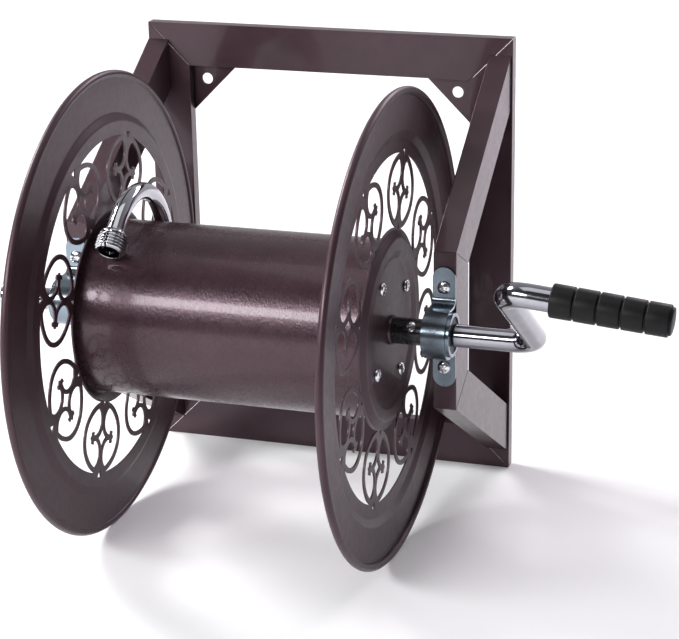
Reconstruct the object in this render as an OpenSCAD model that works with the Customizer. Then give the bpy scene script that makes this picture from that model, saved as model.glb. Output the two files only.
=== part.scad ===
// Wall-mounted garden hose reel with a hand crank.
// The origin is the centre of the four wall bolts, on the wall plane. +Y points into the wall,
// +X runs along the axle towards the crank and +Z is up.

/* [Wall frame] */
// Overall width of the wall frame
frame_w = 370; // [365:1:380]
// Overall height of the wall frame
frame_h = 436; // [430:1:445]
// Width of each channel rail
rail_w = 42; // [38:1:44]
// Depth of each channel rail
rail_d = 13; // [10:0.5:14]
// Sheet thickness of the channel rails
rail_t = 1.5; // [1.2:0.1:2]
// Length of a corner gusset along the rail
gusset_leg = 46.5; // [40:0.5:60]
// Diameter of the wall bolt holes
wall_hole_d = 11; // [8:0.5:12]
// Distance of a wall bolt hole from the inner edges of the rails
hole_inset = 14.5; // [12:0.5:16]

/* [Side arms] */
// Width of the arm tube along the axle
arm_w = 21; // [20:0.5:24]
// Depth of the arm tube
arm_d = 42; // [36:1:44]
// Wall of the arm tube
arm_t = 1.5; // [1.2:0.1:2]
// Gap between the right arm's outer face and the edge of the frame
arm_inset = 1.7; // [0:0.1:4]
// How far the left struts lean outwards on their way to the post
left_lean = 8.3; // [0:0.1:10]
// Slope of the upper strut, in degrees
upper_slope = 34.1; // [30:0.1:36]
// Slope of the lower strut, in degrees
lower_slope = 30.8; // [28:0.1:32]
// Height of the post's upper front corner above the bolt centre
post_top = 67.7; // [60:0.1:72]
// Height of the post's lower front corner above the bolt centre
post_bottom = -80.9; // [-84:0.1:-76]

/* [Reel] */
// Diameter of the two discs
disc_d = 432; // [420:1:436]
// Distance between the flat webs of the two discs
disc_gap = 268; // [250:1:270]
// Offset of the reel towards the left arm
reel_shift = 7; // [4:0.5:8]
// Outer diameter of the hose drum
drum_d = 161; // [158:1:164]
// Sheet thickness of the discs and the drum
sheet_t = 1.5; // [1.2:0.1:2]
// Angle that the reel stands at, measured from the wall direction
reel_turn = -19.5; // [-45:0.5:45]

/* [Scrollwork] */
// Number of scrolls in each disc
scroll_count = 8; // [6:1:8]
// Inner radius of the pierced ring
pierced_r_in = 91; // [90:1:92]
// Outer radius of the pierced ring
pierced_r_out = 157; // [156:1:158]
// Half width of a scroll along the rim
scroll_half_w = 41; // [39:0.5:42]
// Width of the scroll's strap
strap_w = 4.6; // [4:0.1:5]

/* [Axle and bearings] */
// Distance of the axle from the wall
axle_to_wall = 231; // [230:0.5:236]
// Outer diameter of the axle tube
axle_tube_d = 24; // [23:0.5:25]
// Outer diameter of the crank tube and of the inlet pipe
crank_d = 20.5; // [20:0.5:21]
// Outer radius of the bearing sleeve, which rests on the post
sleeve_r = 20; // [19:0.5:21]
// Radial running clearance in the bearing bushes
running_gap = 0.06; // [0.02:0.01:0.1]
// Thickness of the bearing strap
strap_t = 2.5; // [2:0.1:3]
// Distance between the two screws of a bearing strap
strap_pitch = 75; // [70:1:80]

/* [Crank] */
// Distance from the middle of the reel frame to the crank's lower corner
crank_x = 263; // [250:1:275]
// Crank radius, from the axle to the handle
crank_arm = 166; // [150:1:175]
// Angle of the crank arm above the forward direction, in degrees
crank_lift = 33.5; // [0:0.5:60]
// Radius of the crank's bends, on the centreline
crank_bend = 22; // [20:1:26]
// Turn of the upper bend, in degrees
handle_turn = 93; // [90:0.5:96]
// Twist of the handle out of the crank's plane, in degrees
handle_twist = 4.6; // [0:0.1:6]
// Distance from the upper corner to the grip
grip_start = 41; // [38:1:50]
// Length of the grip
grip_len = 96; // [90:1:110]
// Diameter of the grip at its inner end
grip_d = 28; // [27:0.5:30]
// Diameter of the grip at its outer end
grip_end_d = 26.6; // [26:0.1:28]

/* [Water path] */
// Outer diameter of the outlet pipe
outlet_d = 16; // [15:0.5:17]
// Distance of the outlet pipe to the left of the bolt centre
outlet_x = -112; // [-114:1:-108]
// Radius of the outlet pipe's arch, on the centreline
arch_r = 64; // [62:1:66]
// Height of the arch's centre above the axle
arch_rise = 45; // [44:1:47]
// Outer diameter of the hose thread
thread_d = 26.9; // [26.4:0.1:27]

/* [Fasteners] */
// Shank diameter of the machine screws
screw_d = 6; // [5:0.5:6]
// Head diameter of the machine screws
head_d = 12; // [11:0.5:12.5]
// Radius of the circle of hub bolts
hub_bolt_r = 53.5; // [50:0.5:56]
// Angle of the first hub bolt, in degrees
hub_bolt_turn = 30; // [0:1:89]

/* [Hidden] */
$fn = 64;
body_colour = [0.24, 0.19, 0.20];
zinc_colour = [0.62, 0.68, 0.74];
chrome_colour = [0.80, 0.80, 0.82];
black_colour = [0.08, 0.08, 0.08];
steel_colour = [0.55, 0.55, 0.55];
brass_colour = [0.72, 0.58, 0.30];

// Frame
mitre_gap = 0.2;
inner_x = frame_w / 2 - rail_w;
inner_z = frame_h / 2 - rail_w;
gusset_t = 2;
hole_x = inner_x - hole_inset;
hole_z = inner_z - hole_inset;

// Arms, in the plane of (y, z)
axle_y = -axle_to_wall;
axle_z = disc_d / 2 - frame_h / 2;
post_front = axle_y + sleeve_r;
post_back = post_front + arm_d;
right_root = frame_w / 2 - arm_inset;
right_out = right_root;
left_root = frame_w / 2;
left_out = left_root + left_lean;
top_mitre = arm_d / tan((90 + upper_slope) / 2);
bottom_mitre = arm_d / tan((90 + lower_slope) / 2);
strut_reach = -rail_d - post_front;
upper_front_z = post_top + strut_reach * tan(upper_slope);
lower_front_z = post_bottom - strut_reach * tan(lower_slope);

// Reel, along the axle
disc_r = disc_d / 2;
right_web = disc_gap / 2 - reel_shift;
left_web = -disc_gap / 2 - reel_shift;
rim_bead_r = 3.75;
rim_bead_rise = 5;
hub_rise = 1.5;
ridge_rise = 4.5;
band_rise = 3.5;
hub_flat_r = 64;
ridge_in_r = 71;
ridge_out_r = 82;
ridge_foot_r = 89;
band_in_r = 177;
band_foot_r = 170;
drum_t = 1.2;
drum_r = drum_d / 2;
drum_rise = ridge_rise - sheet_t;
plate_t = 3;
plate_gap = 0.2;
axle_hole_r = axle_tube_d / 2 + 0.2;
bolt_clearance = 0.15;

// Scrolls: x is radial and y runs along the rim, both from the scroll's centre
scroll_r = (pierced_r_in + pierced_r_out) / 2;
scroll_half_h = (pierced_r_out - pierced_r_in) / 2 + 1;
end_r = 28;
end_y = scroll_half_w - end_r;
flat_r = (end_y * end_y + scroll_half_h * scroll_half_h - end_r * end_r) / (2 * (scroll_half_h - end_r));
flat_x = flat_r - scroll_half_h;
lobe_x = 15.4;
lobe_y = 16.6;
lobe_r = 13;
star_r = lobe_r + 4.2;
knob_half = 2.8;
knob_bar_half = 6.2;
knob_bar_y = 19.5;
knob_tip_y = 24.6;
pole_hole_w = 8;
pole_hole_h = 7;
foot_hole_w = 5;
foot_hole_h = 5;

// Bearings
strap_r = sleeve_r + strap_t;
fillet_r = 8;
fillet_y = sleeve_r - strap_t - fillet_r;
fillet_reach = strap_r + fillet_r;
fillet_z = sqrt(fillet_reach * fillet_reach - fillet_y * fillet_y);
tab_end = strap_pitch / 2 + 18.75;
sleeve_wall = 3.5;
sleeve_overhang_in = 1.5;
sleeve_overhang_out = 3.5;
function sleeve_x(out_x) = out_x - arm_w - sleeve_overhang_in;
sleeve_len = arm_w + sleeve_overhang_in + sleeve_overhang_out;
bush_recess = 1.5;
crank_r = crank_d / 2;

// Axle and water pipe
block_half = 14;
block_r = 19;
axle_start = outlet_x + block_half;
axle_end = right_out - arm_w - 2.3;
crank_start = axle_end - 27.7;
crank_wall = 1.5;
axle_screw_x = 150;
axle_screw_turn = 141;
axle_screw_d = 5;
collar_len = 3;
collar_rise = 1.6;
inlet_end = -left_out - 35;
inlet_bore_r = 7;

// Handle
grip_bore_gap = 0.06;
stop_len = 2;
stop_r = crank_r + 1.2;
stop_pocket = 4;
groove_w = 2;
groove_depth = 1.3;
grip_segments = 5;
handle_len = grip_start + grip_len + 0.4;
plug_len = 14;
seam = 0.15;
seam_len = 1;
seam_gap = 0.2;
cap_flange_t = 2.2;

// Outlet
outlet_r = outlet_d / 2;
outlet_wall = 1.2;
arch_sweep = 132;
drop_len = 30;
thread_len = 15;
ferrule_len = 9;
ferrule_r = 11.2;
thread_r = thread_d / 2;
thread_bore_r = 9.6;
inner_bend = 28;

// Inlet swivel
swivel_r = 16;
swivel_x = -left_out - 40;
swivel_half = 16;
swivel_drop = 46;
swivel_branch = swivel_x - 2;
ring_section = 1.3;

// Machine screws
head_h = 4.2;
head_rim = 1.4;
head_dome = head_h - head_rim;
dome_r = (head_d * head_d / 4 + head_dome * head_dome) / (2 * head_dome);
cross_w = 1.7;
cross_len = 6.6;
cross_depth = 2.2;
nut_af = 10;
nut_h = 5;
screw_hole_r = screw_d / 2 + bolt_clearance;

// ---- Shared shapes ----

// Extrudes a (y, z) outline along +X
module along_x(len) rotate([90, 0, 90]) linear_extrude(len) children();

// Places a shape drawn round +Z on the axle, pointing along +X from a given station
module on_axle(x) translate([x, axle_y, axle_z]) rotate([0, 90, 0]) children();

// Ring drawn round +Z
module ring(r_out, r_in, len) {
  difference() {
    cylinder(r = r_out, h = len);
    translate([0, 0, -1]) cylinder(r = r_in, h = len + 2);
  }
}

// Pan-head screw with a cross recess; the shank points along -Z from the head's seat
module pan_screw(shank_len, d = screw_d) {
  difference() {
    intersection() {
      cylinder(d = head_d, h = head_h);
      translate([0, 0, head_h - dome_r]) sphere(dome_r);
    }
    for (turn = [0, 90]) rotate([0, 0, turn])
      translate([-cross_len / 2, -cross_w / 2, head_h - cross_depth]) cube([cross_len, cross_w, head_h]);
  }
  translate([0, 0, -shank_len]) cylinder(d = d, h = shank_len);
}

// ---- Wall frame ----

// Mitred channel along X, open towards the wall, with its outer edge on z = 0
module rail(len) {
  half = len / 2 - mitre_gap;
  difference() {
    rotate([90, 0, 0]) linear_extrude(rail_d)
      polygon([[-half, 0], [half, 0], [half - rail_w, -rail_w], [rail_w - half, -rail_w]]);
    translate([-len / 2, rail_t - rail_d, rail_t - rail_w]) cube([len, rail_d, rail_w - 2 * rail_t]);
  }
}

module frame_top_rail() color(body_colour) translate([0, 0, frame_h / 2]) rail(frame_w);
module frame_bottom_rail() color(body_colour) mirror([0, 0, 1]) translate([0, 0, frame_h / 2]) rail(frame_w);
module frame_right_stile() color(body_colour) translate([frame_w / 2, 0, 0]) rotate([0, 90, 0]) rail(frame_h);
module frame_left_stile() color(body_colour) mirror([1, 0, 0]) translate([frame_w / 2, 0, 0])
  rotate([0, 90, 0]) rail(frame_h);

// Triangular plate with the wall bolt hole, one in each inner corner
module corner_gussets() {
  color(body_colour) for (sx = [-1, 1], sz = [-1, 1]) difference() {
    rotate([90, 0, 0]) linear_extrude(gusset_t)
      polygon([[sx * inner_x, sz * inner_z], [sx * (inner_x - gusset_leg), sz * inner_z],
               [sx * inner_x, sz * (inner_z - gusset_leg)]]);
    translate([sx * hole_x, 0, sz * hole_z]) rotate([90, 0, 0])
      cylinder(d = wall_hole_d, h = 3 * gusset_t, center = true);
  }
}

// ---- Side arms: rectangular tube, mitred where the pieces meet ----
// Each is drawn for the right side. Its outer face is at root_x on the frame and out_x on the post.

// Side view of a tube whose long edges are a-b and d-c, made thinner by a wall and longer by a reach
function side_view(a, b, c, d, wall, reach) =
  let (along = (b - a) / norm(b - a), left = [-along[1], along[0]], across = left * sign(left * (d - a)))
  [a + across * wall - along * reach, b + across * wall + along * reach,
   c - across * wall + along * reach, d - across * wall - along * reach];

// Top view of an arm, made thinner by a wall
module top_view(root_x, out_x, wall) {
  linear_extrude(2 * frame_h, center = true)
    polygon([[out_x - wall, post_front - arm_d], [out_x - wall, post_front], [root_x - wall, -rail_d],
             [root_x - wall, arm_d], [root_x - arm_w + wall, arm_d], [root_x - arm_w + wall, -rail_d],
             [out_x - arm_w + wall, post_front], [out_x - arm_w + wall, post_front - arm_d]]);
}

module arm_tube(a, b, c, d, root_x, out_x) {
  difference() {
    intersection() {
      along_x(frame_w) polygon(side_view(a, b, c, d, 0, 0));
      top_view(root_x, out_x, 0);
    }
    intersection() {
      along_x(frame_w) polygon(side_view(a, b, c, d, arm_t, arm_d));
      top_view(root_x, out_x, arm_t);
    }
  }
}

module upper_strut(root_x, out_x) {
  color(body_colour) arm_tube(
    [post_front, post_top], [-rail_d, upper_front_z],
    [-rail_d, upper_front_z - arm_d / cos(upper_slope)], [post_back, post_top - top_mitre], root_x, out_x);
}

module lower_strut(root_x, out_x) {
  color(body_colour) arm_tube(
    [post_front, post_bottom], [-rail_d, lower_front_z],
    [-rail_d, lower_front_z + arm_d / cos(lower_slope)], [post_back, post_bottom + bottom_mitre],
    root_x, out_x);
}

// Upright with two screw holes in its front wall; its side faces are square to the axle
module front_post(out_x) {
  corners = [[post_front, post_bottom], [post_front, post_top],
             [post_back, post_top - top_mitre], [post_back, post_bottom + bottom_mitre]];
  cavity = side_view(corners[0], corners[1], corners[2], corners[3], arm_t, arm_d);
  color(body_colour) translate([out_x - arm_w, 0, 0]) difference() {
    along_x(arm_w) polygon(corners);
    translate([arm_t, 0, 0]) along_x(arm_w - 2 * arm_t) polygon(cavity);
    for (side = [-1, 1]) translate([arm_w / 2, post_front, axle_z + side * strap_pitch / 2])
      rotate([90, 0, 0]) cylinder(r = screw_hole_r, h = 3 * arm_t, center = true);
  }
}

module right_upper_strut() upper_strut(right_root, right_out);
module right_front_post() front_post(right_out);
module right_lower_strut() lower_strut(right_root, right_out);
module left_upper_strut() mirror([1, 0, 0]) upper_strut(left_root, left_out);
module left_front_post() mirror([1, 0, 0]) front_post(left_out);
module left_lower_strut() mirror([1, 0, 0]) lower_strut(left_root, left_out);

// ---- Bearings on the posts, drawn for the right side ----

// Corner between the hump and the post, in the plane of (y, z) with its origin on the axle
module strap_corner(arc_r, len) {
  difference() {
    linear_extrude(len) polygon([[0, 0], [fillet_y, fillet_z], [sleeve_r, fillet_z], [sleeve_r, 0]]);
    translate([fillet_y, fillet_z, -1]) cylinder(r = arc_r, h = len + 2);
  }
}

// Saddle strap over the sleeve: a hump, two fillets and two rounded tabs
module bearing_strap(out_x) {
  tab_mid = tab_end - arm_w / 2;
  color(zinc_colour) translate([out_x - arm_w, axle_y, axle_z]) difference() {
    intersection() {
      rotate([90, 0, 90]) difference() {
        union() {
          cylinder(r = strap_r, h = arm_w);
          for (side = [0, 1]) mirror([0, side, 0]) strap_corner(fillet_r, arm_w);
          translate([sleeve_r - strap_t, -tab_end, 0]) cube([strap_t, 2 * tab_end, arm_w]);
        }
        translate([0, 0, -1]) cylinder(r = sleeve_r, h = arm_w + 2);
        for (side = [0, 1]) mirror([0, side, 0]) translate([0, 0, -1])
          strap_corner(fillet_r + strap_t, arm_w + 2);
        translate([sleeve_r, -strap_r, -1]) cube([strap_r, 2 * strap_r, arm_w + 2]);
      }
      translate([arm_w / 2, sleeve_r + 1, 0]) rotate([90, 0, 0]) linear_extrude(sleeve_r + strap_r + 2) {
        square([arm_w, 2 * tab_mid], center = true);
        for (side = [-1, 1]) translate([0, side * tab_mid]) circle(d = arm_w);
      }
    }
    for (side = [-1, 1]) translate([arm_w / 2, sleeve_r, side * strap_pitch / 2])
      rotate([90, 0, 0]) cylinder(r = screw_hole_r, h = 3 * strap_t, center = true);
  }
}

module strap_screws(out_x) {
  color(chrome_colour) for (side = [-1, 1])
    translate([out_x - arm_w / 2, post_front - strap_t, axle_z + side * strap_pitch / 2])
      rotate([90, 0, 0]) pan_screw(strap_t + arm_t + 10);
}

// Steel sleeve clamped between the strap and the post
module bearing_sleeve(out_x) color(zinc_colour) on_axle(sleeve_x(out_x))
  ring(sleeve_r, sleeve_r - sleeve_wall, sleeve_len);

// Plastic bush that the tube turns in
module bearing_bush(out_x) color(black_colour) on_axle(sleeve_x(out_x) + bush_recess)
  ring(sleeve_r - sleeve_wall, crank_r + running_gap, sleeve_len - 2 * bush_recess);

module right_bearing_strap() bearing_strap(right_out);
module left_bearing_strap() mirror([1, 0, 0]) bearing_strap(left_out);
module right_strap_screws() strap_screws(right_out);
module left_strap_screws() mirror([1, 0, 0]) strap_screws(left_out);
module right_bearing_sleeve() bearing_sleeve(right_out);
module left_bearing_sleeve() mirror([1, 0, 0]) bearing_sleeve(left_out);
module right_bearing_bush() bearing_bush(right_out);
module left_bearing_bush() mirror([1, 0, 0]) bearing_bush(left_out);

// ---- Pierced discs, drawn with their outward side towards +Z ----

// Closed outline of a pressed sheet, from the points of its outward face
function sheet_outline(face) = concat(face, [for (i = [len(face) - 1 : -1 : 0]) face[i] - [0, sheet_t]]);

// Oval of four arcs, moved inwards by a distance
module oval(inset) {
  join_y = end_y * (flat_r - inset) / (flat_r - end_r);
  for (side = [-1, 1]) translate([0, side * end_y]) circle(r = end_r - inset);
  intersection() {
    translate([-flat_x, 0]) circle(r = flat_r - inset);
    translate([flat_x, 0]) circle(r = flat_r - inset);
    translate([-flat_r, -join_y]) square([2 * flat_r, 2 * join_y]);
  }
}

// Small bud at the end of a scroll, with three points
module bud() {
  translate([-knob_half, 0]) square([2 * knob_half, knob_bar_y + 1]);
  polygon([[-knob_bar_half, knob_bar_y - 1.5], [-knob_half, knob_bar_y], [knob_half, knob_bar_y],
           [knob_bar_half, knob_bar_y - 1.5], [knob_bar_half - 1, knob_tip_y - 1],
           [knob_half, knob_tip_y - 2], [0, knob_tip_y], [-knob_half, knob_tip_y - 2],
           [1 - knob_bar_half, knob_tip_y - 1]]);
}

// One of the two kidney-shaped openings inside a scroll
module kidney() {
  difference() {
    intersection() {
      oval(strap_w);
      union() {
        for (side = [-1, 1]) translate([side * lobe_x, lobe_y]) circle(r = lobe_r);
        translate([-scroll_half_h, lobe_y]) square([2 * scroll_half_h, scroll_half_w]);
      }
    }
    bud();
  }
}

// Four-pointed opening in the middle of a scroll
module star() {
  difference() {
    square([2 * lobe_x, 2 * lobe_y], center = true);
    for (sx = [-1, 1], sy = [-1, 1]) translate([sx * lobe_x, sy * lobe_y]) circle(r = star_r);
  }
}

module scroll() {
  difference() {
    oval(0);
    kidney();
    mirror([0, 1, 0]) kidney();
    star();
  }
}

// Three-cornered holes at the two poles of a scroll
module pole_holes() {
  top = scroll_half_h + 3;
  polygon([[top, -pole_hole_w / 2], [top, pole_hole_w / 2], [top - pole_hole_h, 0]]);
  foot = -scroll_half_h - 1;
  polygon([[foot, -foot_hole_w / 2], [foot, foot_hole_w / 2], [foot + foot_hole_h, 0]]);
}

module disc() {
  color(body_colour) difference() {
    union() {
      rotate_extrude() {
        polygon(sheet_outline([[axle_hole_r, hub_rise], [hub_flat_r, hub_rise], [ridge_in_r, ridge_rise],
                               [ridge_out_r, ridge_rise], [ridge_foot_r, 0], [pierced_r_in, 0]]));
        polygon(sheet_outline([[pierced_r_out, 0], [band_foot_r, 0], [band_in_r, band_rise],
                               [disc_r - 2 * rim_bead_r + 1, band_rise + 1]]));
        translate([disc_r - rim_bead_r, rim_bead_rise]) circle(r = rim_bead_r);
      }
      for (i = [0 : scroll_count - 1]) rotate([0, 0, i * 360 / scroll_count])
        translate([scroll_r, 0, -sheet_t]) linear_extrude(sheet_t) scroll();
    }
    for (i = [0 : scroll_count - 1]) rotate([0, 0, i * 360 / scroll_count])
      translate([scroll_r, 0, -2 * sheet_t]) linear_extrude(4 * sheet_t) pole_holes();
    hub_bolt_places(hub_bolt_turn - reel_turn) cylinder(r = screw_hole_r, h = 20, center = true);
  }
}

// Repeats a shape on the circle of hub bolts
module hub_bolt_places(turn) for (i = [0 : 3])
  rotate([0, 0, turn + 90 * i]) translate([hub_bolt_r, 0, 0]) children();

// Turns a disc's outward side to +X or -X; the angle is measured from +Y towards +Z
module face_right(x, turn) translate([x, axle_y, axle_z]) rotate([turn, 0, 0]) rotate([90, 0, 90]) children();
module face_left(x, turn) translate([x, axle_y, axle_z]) rotate([turn, 0, 0]) mirror([1, 0, 0])
  rotate([90, 0, 90]) children();

module right_disc() face_right(right_web, reel_turn) disc();
module left_disc() face_left(left_web, reel_turn) disc();

// ---- Drum ----

// Rolled sheet barrel with a slot where the outlet pipe comes through
module drum_barrel() {
  start = left_web - drum_rise;
  color(body_colour) difference() {
    on_axle(start) ring(drum_r, drum_r - drum_t, right_web + drum_rise - start);
    translate([outlet_x, axle_y + arch_r, axle_z + 20]) cylinder(r = outlet_r + 1.5, h = arch_rise);
  }
}

module end_plate(hole_r) {
  color(steel_colour) difference() {
    translate([0, 0, hub_rise - sheet_t - plate_t]) ring(drum_r - drum_t - plate_gap, hole_r, plate_t);
    hub_bolt_places(hub_bolt_turn) cylinder(r = screw_hole_r, h = 20, center = true);
  }
}

module right_end_plate() face_right(right_web, 0) end_plate(axle_hole_r);
module left_end_plate() face_left(left_web, 0) end_plate(crank_r + 0.2);

module hub_bolts() {
  color(chrome_colour) hub_bolt_places(hub_bolt_turn)
    translate([0, 0, hub_rise]) rotate([0, 0, 30]) pan_screw(sheet_t + plate_t + nut_h + 3);
}

module hub_nuts() {
  color(steel_colour) hub_bolt_places(hub_bolt_turn)
    translate([0, 0, hub_rise - sheet_t - plate_t - nut_h]) difference() {
      cylinder(d = nut_af / cos(30), h = nut_h, $fn = 6);
      translate([0, 0, -1]) cylinder(r = screw_d / 2 + 0.05, h = nut_h + 2);
    }
}

module right_hub_bolts() face_right(right_web, 0) hub_bolts();
module left_hub_bolts() face_left(left_web, 0) hub_bolts();
module right_hub_nuts() face_right(right_web, 0) hub_nuts();
module left_hub_nuts() face_left(left_web, 0) hub_nuts();

// ---- Axle and crank ----

// Tube from the water block through the right hub, which the crank tube slides into
module axle_tube() {
  color(black_colour) difference() {
    on_axle(axle_start) ring(axle_tube_d / 2, crank_r + 0.1, axle_end - axle_start);
    axle_screw_place() cylinder(d = axle_screw_d + 0.3, h = 3 * axle_tube_d, center = true);
  }
}

// Bead of weld round the axle tube at the hub
module hub_collar(hole_r) {
  outer_r = axle_tube_d / 2 + collar_rise;
  color(body_colour) translate([0, 0, hub_rise]) difference() {
    cylinder(r1 = outer_r, r2 = outer_r - 0.6, h = collar_len);
    translate([0, 0, -1]) cylinder(r = hole_r, h = collar_len + 2);
  }
}

module right_hub_collar() face_right(right_web, 0) hub_collar(axle_tube_d / 2);
module left_hub_collar() face_left(left_web, 0) hub_collar(crank_r);

module axle_screw_place() translate([axle_screw_x, axle_y, axle_z]) rotate([axle_screw_turn, 0, 0])
  rotate([-90, 0, 0]) children();

// Cross screw that pins the crank tube in the axle tube
module axle_screw() {
  screw_len = axle_tube_d + 5;
  color(chrome_colour) axle_screw_place() {
    difference() {
      translate([0, 0, axle_tube_d / 2]) cylinder(d1 = 9.5, d2 = 7, h = 2.6);
      translate([0, 0, axle_tube_d / 2 + 1]) cylinder(d = 4.2, h = 3, $fn = 6);
    }
    translate([0, 0, axle_tube_d / 2 - screw_len]) cylinder(d = axle_screw_d, h = screw_len);
    translate([0, 0, -axle_tube_d / 2 - 4]) cylinder(d = 8 / cos(30), h = 4, $fn = 6);
  }
}

// Round tube along +X
module tube_x(r_out, r_in, len) rotate([0, 90, 0]) ring(r_out, r_in, len);

// Thin seam round a joint between two lengths of tube, at the origin
module tube_seam(r_out, r_in) translate([-seam_len / 2, 0, 0]) tube_x(r_out + seam, r_in - seam, seam_len);

// Bend that starts along +X at the origin and turns towards +Y
module tube_bend(bend_r, turn, r_out, r_in) {
  translate([0, bend_r, 0]) rotate_extrude(start = -90, angle = turn) translate([bend_r, 0]) difference() {
    circle(r = r_out);
    circle(r = r_in);
  }
}

// Places a child at the start of the handle, which then runs along its +X
module at_handle() {
  translate([crank_x, axle_y, axle_z]) rotate([180 - crank_lift, 0, 0])
    translate([0, crank_arm, 0]) rotate([0, -handle_twist, 0]) rotate([0, 0, 90 - handle_turn]) children();
}

// Bent tube: axle leg, arm and handle leg
module crank_tube() {
  bore = crank_r - crank_wall;
  tangent = crank_bend * tan(handle_turn / 2);
  color(chrome_colour) difference() {
    union() {
      translate([crank_start, axle_y, axle_z]) rotate([180 - crank_lift, 0, 0]) {
        tube_x(crank_r, bore, crank_x - crank_bend - crank_start);
        translate([crank_x - crank_bend - crank_start, 0, 0]) tube_bend(crank_bend, 90, crank_r, bore);
        translate([crank_x - crank_start, crank_bend, 0]) rotate([0, 0, 90])
          tube_x(crank_r, bore, crank_arm - crank_bend - tangent - seam_gap);
      }
      translate([crank_x, axle_y, axle_z]) rotate([180 - crank_lift, 0, 0])
        translate([0, crank_arm - tangent, 0]) rotate([0, -handle_twist, 0]) rotate([0, 0, 90])
          mirror([0, 1, 0]) {
            tube_bend(crank_bend, handle_turn, crank_r, bore);
            tube_seam(crank_r, bore);
          }
      at_handle() translate([tangent + seam_gap, 0, 0])
        tube_x(crank_r, bore, handle_len - tangent - seam_gap);
      at_handle() translate([tangent, 0, 0]) tube_seam(crank_r, bore);
      at_handle() translate([grip_start + 1, 0, 0]) tube_x(stop_r, bore, stop_len);
    }
    axle_screw_place() cylinder(d = axle_screw_d + 0.3, h = 3 * axle_tube_d, center = true);
  }
}

// Ribbed grip that turns on the handle leg
module crank_grip() {
  seg = grip_len / grip_segments;
  function taper(x) = grip_d / 2 + (grip_end_d - grip_d) / 2 * x / grip_len;
  bore_r = crank_r + grip_bore_gap;
  color(black_colour) at_handle() translate([grip_start, 0, 0]) rotate([0, 90, 0]) difference() {
    rotate_extrude() polygon(concat(
      [[bore_r, 0], [taper(0) - 1, 0], [taper(1), 1]],
      [for (i = [1 : grip_segments - 1], step = [0 : 3])
        [taper(i * seg) - (step == 1 || step == 2 ? groove_depth : 0),
         i * seg + (step < 2 ? -groove_w / 2 : groove_w / 2)]],
      [[taper(grip_len - 2), grip_len - 2], [taper(grip_len) - 2, grip_len], [bore_r, grip_len]]));
    translate([0, 0, -1]) cylinder(r = stop_r + 0.3, h = stop_pocket + 1);
  }
}

// Plug in the end of the handle, whose flange keeps the grip on
module handle_end_cap() {
  color(black_colour) at_handle() translate([handle_len, 0, 0]) rotate([0, 90, 0]) {
    cylinder(r1 = crank_r + 1.4, r2 = crank_r + 0.6, h = cap_flange_t);
    translate([0, 0, -plug_len]) cylinder(r = crank_r - crank_wall, h = plug_len);
  }
}

// ---- Water path ----

// Block that joins the inlet pipe, the outlet pipe and the axle tube inside the drum
module water_block() {
  color(brass_colour) difference() {
    on_axle(outlet_x - block_half) cylinder(r = block_r, h = 2 * block_half);
    on_axle(outlet_x - block_half - 1) cylinder(r = crank_r + 0.05, h = block_half - outlet_r + 1);
    on_axle(outlet_x - outlet_r) cylinder(r = inlet_bore_r, h = outlet_r);
    translate([outlet_x, axle_y, axle_z]) rotate([-90, 0, 0]) {
      cylinder(r = outlet_r - outlet_wall, h = block_r + 1);
      translate([0, 0, block_r - 8]) cylinder(r = outlet_r + 0.05, h = 9);
    }
  }
}

// Arched outlet: out of the block, up through the drum, over and down towards the front
module outlet_pipe() {
  bore = outlet_r - outlet_wall;
  drop_turn = 90 + arch_sweep;
  color(chrome_colour) translate([outlet_x, axle_y, axle_z]) rotate([90, 0, 90]) {
    translate([block_r - 8, 0, 0]) tube_x(outlet_r, bore, arch_r - inner_bend - block_r + 8);
    translate([arch_r - inner_bend, 0, 0]) tube_bend(inner_bend, 90, outlet_r, bore);
    translate([arch_r, inner_bend, 0]) rotate([0, 0, 90]) tube_x(outlet_r, bore, arch_rise - inner_bend);
    translate([arch_r, arch_rise, 0]) rotate([0, 0, 90]) tube_bend(arch_r, arch_sweep, outlet_r, bore);
    translate([arch_r * cos(arch_sweep), arch_rise + arch_r * sin(arch_sweep), 0]) rotate([0, 0, drop_turn])
      translate([seam_gap, 0, 0]) tube_x(outlet_r, bore, drop_len - thread_len + 2 - seam_gap);
    translate([arch_r * cos(arch_sweep), arch_rise + arch_r * sin(arch_sweep), 0]) rotate([0, 0, drop_turn])
      tube_seam(outlet_r, bore);
  }
}

// Places a child at the mouth of the outlet, with +Z pointing out of it
module at_mouth() {
  translate([outlet_x, axle_y, axle_z]) rotate([90, 0, 90])
    translate([arch_r * cos(arch_sweep), arch_rise + arch_r * sin(arch_sweep), 0])
      rotate([0, 0, 90 + arch_sweep]) translate([drop_len, 0, 0]) rotate([0, 90, 0]) children();
}

// Ferrule and hose thread on the end of the outlet pipe
module outlet_thread() {
  color(chrome_colour) at_mouth() difference() {
    union() {
      translate([0, 0, -thread_len]) cylinder(r = thread_r, h = thread_len);
      translate([0, 0, -thread_len - ferrule_len])
        cylinder(r1 = outlet_r + 1.2, r2 = ferrule_r, h = ferrule_len);
    }
    translate([0, 0, -thread_len - ferrule_len - 1]) cylinder(r = outlet_r + 0.05, h = ferrule_len + 3);
    translate([0, 0, 1 - thread_len]) cylinder(r = thread_bore_r, h = thread_len + 1);
  }
}

// Grooves for the two O-rings and the clip, measured from the pipe's outer end
function ring_place(i) = inlet_end + 3 + i * 5;

// Pipe that carries the reel in the left bearing and lets the water in
module inlet_pipe() {
  color(chrome_colour) difference() {
    on_axle(inlet_end) ring(crank_r, inlet_bore_r, outlet_x - outlet_r - inlet_end);
    for (i = [0, 1]) on_axle(ring_place(i) - ring_section) ring(crank_r + 1, crank_r - 2 * ring_section + 0.2,
      2 * ring_section);
    on_axle(swivel_x + swivel_half + 1) ring(crank_r + 1, crank_r - 1, 1.4);
  }
}

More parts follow.
